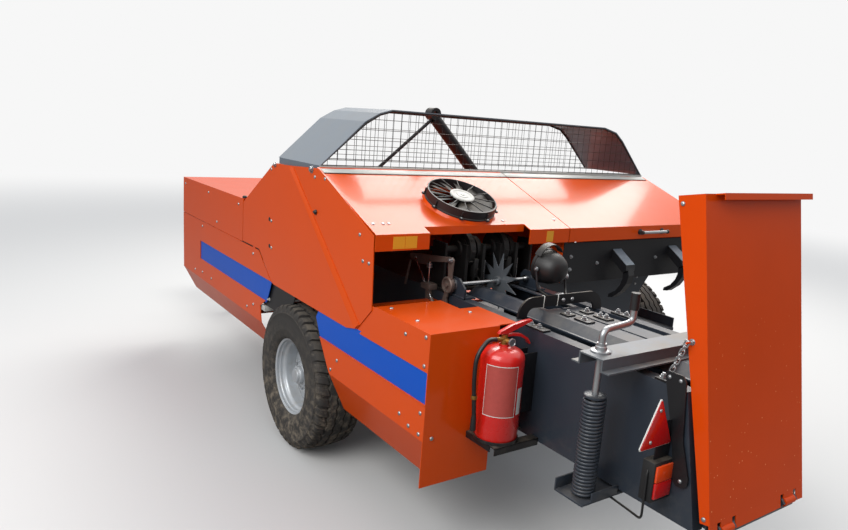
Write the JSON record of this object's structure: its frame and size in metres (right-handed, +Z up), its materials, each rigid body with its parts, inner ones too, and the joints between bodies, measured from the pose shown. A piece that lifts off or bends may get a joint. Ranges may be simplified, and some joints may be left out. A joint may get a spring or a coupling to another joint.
{
  "type": "square baler",
  "caption": "Towed small square baler with side pick-up, bale chamber with raised rear chute, sloping hoods, mesh cage and swinging drawbar on a parking jack.",
  "frame": {"origin": "centre of the machine's footprint, on the ground it stands on", "axes": "+Y in the direction of travel, +X to the machine's right, +Z up"},
  "size_m": [2.6484, 5.56, 1.799],
  "materials": {
    "orange": "glossy orange paint",
    "anthracite": "satin anthracite paint",
    "black": "satin black paint",
    "black_plastic": "moulded black plastic",
    "zinc": "zinc plated steel",
    "rim_silver": "silver paint",
    "blue": "glossy blue paint",
    "tyre": "dusty rubber",
    "red": "glossy red paint",
    "reflector_red": "moulded reflector plastic",
    "lamp_red": "lamp lens and housing",
    "cast": "dark cast iron",
    "light_grey": "light grey strip",
    "tine_yellow": "yellow paint worn to steel"
  },
  "bodies": {
    "chassis": {"bale_chamber": "anthracite", "density_rails": "anthracite", "main_frame": "anthracite", "feed_deck": "anthracite", "upper_housing": "orange", "plunger": "cast", "gearbox": "cast", "front_skirt": "orange", "side_panel": "orange", "rear_box": "orange", "blue_stripes": "blue", "left_hood": "orange", "hood_rail": "light_grey", "cage_sheets": "black", "cage_mesh": "black", "feeder_lever": "black", "rear_guard": "black", "feeder_tines": "black", "knotters": "cast", "star_brackets": "anthracite", "arch_bar": "black", "work_lamp": "black_plastic", "tension_beam": "anthracite", "tension_screws": "zinc", "tension_springs": "anthracite", "spring_brackets": "anthracite", "extinguisher": "red", "reflectors": "reflector_red", "tail_lamps": "lamp_red", "fan_ring": "black_plastic"},
    "front_lid": {"front_lid": "orange"},
    "right_hood": {"right_hood": "orange", "hood_handle": "zinc"},
    "fan_rotor": {"fan_rotor": "black_plastic"},
    "star_wheel": {"star_wheel": "zinc"},
    "chute": {"chute": "orange", "chute_chain": "zinc"},
    "flywheel": {"flywheel": "orange"},
    "needles": {"needles": "zinc"},
    "drawbar": {"drawbar": "anthracite", "parking_jack": "black"},
    "left_wheel": {"left_tyre": "tyre", "left_rim": "rim_silver"},
    "right_wheel": {"right_tyre": "tyre", "right_rim": "rim_silver"},
    "pickup": {"pickup_frame": "orange"},
    "pickup_reel": {"pickup_reel": "tine_yellow"},
    "wind_guard": {"wind_guard": "orange"},
    "gauge_wheel": {"gauge_wheel": "tyre"}
  },
  "joints": [
    {"name": "front_lid_hinge", "type": "hinge", "parent": "chassis", "child": "front_lid", "pos_m": [-0.265, 0.65, 1.199], "axis": [0, 1, 0], "range_deg": [0, 85]},
    {"name": "right_hood_hinge", "type": "hinge", "parent": "chassis", "child": "right_hood", "pos_m": [0.423, -0.859, 1.466], "axis": [-1, 0, 0], "range_deg": [0, 90]},
    {"name": "fan_spin", "type": "hinge", "parent": "chassis", "child": "fan_rotor", "pos_m": [-0.719, -1.20318, 1.3527], "axis": [0, -0.3624, 0.932], "continuous": true},
    {"name": "star_wheel_spin", "type": "hinge", "parent": "chassis", "child": "star_wheel", "pos_m": [-0.591, -1.385, 1.01], "axis": [1, 0, 0], "continuous": true},
    {"name": "chute_hinge", "type": "hinge", "parent": "chassis", "child": "chute", "pos_m": [-0.591, -2.766, 0.545], "axis": [1, 0, 0], "range_deg": [0, 100]},
    {"name": "flywheel_spin", "type": "hinge", "parent": "chassis", "child": "flywheel", "pos_m": [-0.591, 1.03, 0.77], "axis": [0, 1, 0], "continuous": true},
    {"name": "needle_swing", "type": "hinge", "parent": "chassis", "child": "needles", "pos_m": [-0.903, -0.85, 0.745], "axis": [-1, 0, 0], "range_deg": [0, 64]},
    {"name": "drawbar_swing", "type": "hinge", "parent": "chassis", "child": "drawbar", "pos_m": [-0.591, 0.75, 0.44], "axis": [0, 0, 1], "range_deg": [0, 18]},
    {"name": "left_wheel_spin", "type": "hinge", "parent": "chassis", "child": "left_wheel", "pos_m": [-1.195, -0.65, 0.38], "axis": [1, 0, 0], "continuous": true},
    {"name": "right_wheel_spin", "type": "hinge", "parent": "chassis", "child": "right_wheel", "pos_m": [1.195, -0.65, 0.38], "axis": [1, 0, 0], "continuous": true},
    {"name": "pickup_lift", "type": "hinge", "parent": "chassis", "child": "pickup", "pos_m": [0.353, -0.248, 0.478], "axis": [1, 0, 0], "range_deg": [-22, 0]},
    {"name": "reel_spin", "type": "hinge", "parent": "pickup", "child": "pickup_reel", "pos_m": [0.353, -0.025, 0.42], "axis": [1, 0, 0], "continuous": true},
    {"name": "wind_guard_hinge", "type": "hinge", "parent": "pickup", "child": "wind_guard", "pos_m": [0.353, -0.278, 0.86], "axis": [1, 0, 0], "range_deg": [0, 40]},
    {"name": "gauge_wheel_spin", "type": "hinge", "parent": "pickup", "child": "gauge_wheel", "pos_m": [1.097, 0.11, 0.29], "axis": [1, 0, 0], "continuous": true}
  ]
}
